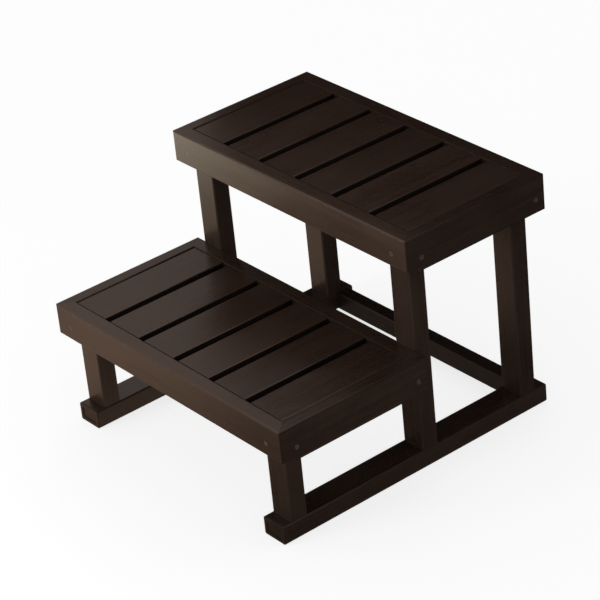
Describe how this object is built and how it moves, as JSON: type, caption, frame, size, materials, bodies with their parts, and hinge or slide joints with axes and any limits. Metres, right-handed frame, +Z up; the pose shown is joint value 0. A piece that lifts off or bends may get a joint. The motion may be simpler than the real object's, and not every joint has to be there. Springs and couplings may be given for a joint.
{
  "type": "spa steps",
  "caption": "Free-standing spa steps with slatted treads in mitred rail frames, notched legs and sled runners joined by a low rear stretcher.",
  "frame": {"origin": "on the ground, at the centre of the steps' rectangular footprint", "axes": "+Z up; -Y towards the person who steps up, +Y towards the tub; +X to that person's right"},
  "size_m": [0.61, 0.594, 0.451],
  "materials": {
    "rails": "dark espresso lumber with a fine lengthwise grain, satin",
    "slats": "dark espresso lumber with a fine lengthwise grain, satin",
    "legs": "dark espresso lumber with a fine lengthwise grain, satin",
    "base_bars": "dark espresso lumber with a fine lengthwise grain, satin, a little duller near the ground",
    "cleats": "dark espresso lumber, sawn faces, matte",
    "end_caps": "dark brown moulded plastic with a fine texture",
    "screws": "dark coated deck screws, dulled by weather"
  },
  "bodies": {
    "root": {"left_front_leg": "legs", "left_middle_leg": "legs", "left_rear_leg": "legs", "left_runner": "base_bars", "left_runner_front_cap": "end_caps", "left_runner_rear_cap": "end_caps", "lower_back_cleat": "cleats", "lower_back_rail": "rails", "lower_cleat_screws": "screws", "lower_front_cleat": "cleats", "lower_front_rail": "rails", "lower_left_rail": "rails", "lower_leg_screws": "screws", "lower_right_rail": "rails", "lower_side_screws": "screws", "lower_slat_1": "slats", "lower_slat_2": "slats", "lower_slat_3": "slats", "lower_slat_4": "slats", "lower_slat_5": "slats", "lower_slat_6": "slats", "lower_slat_screws": "screws", "rear_stretcher": "base_bars", "right_front_leg": "legs", "right_middle_leg": "legs", "right_rear_leg": "legs", "right_runner": "base_bars", "right_runner_front_cap": "end_caps", "right_runner_rear_cap": "end_caps", "runner_leg_screws": "screws", "stretcher_screws": "screws", "upper_back_cleat": "cleats", "upper_back_rail": "rails", "upper_cleat_screws": "screws", "upper_front_cleat": "cleats", "upper_front_rail": "rails", "upper_left_rail": "rails", "upper_leg_screws": "screws", "upper_right_rail": "rails", "upper_side_screws": "screws", "upper_slat_1": "slats", "upper_slat_2": "slats", "upper_slat_3": "slats", "upper_slat_4": "slats", "upper_slat_5": "slats", "upper_slat_6": "slats", "upper_slat_screws": "screws"}
  },
  "joints": []
}
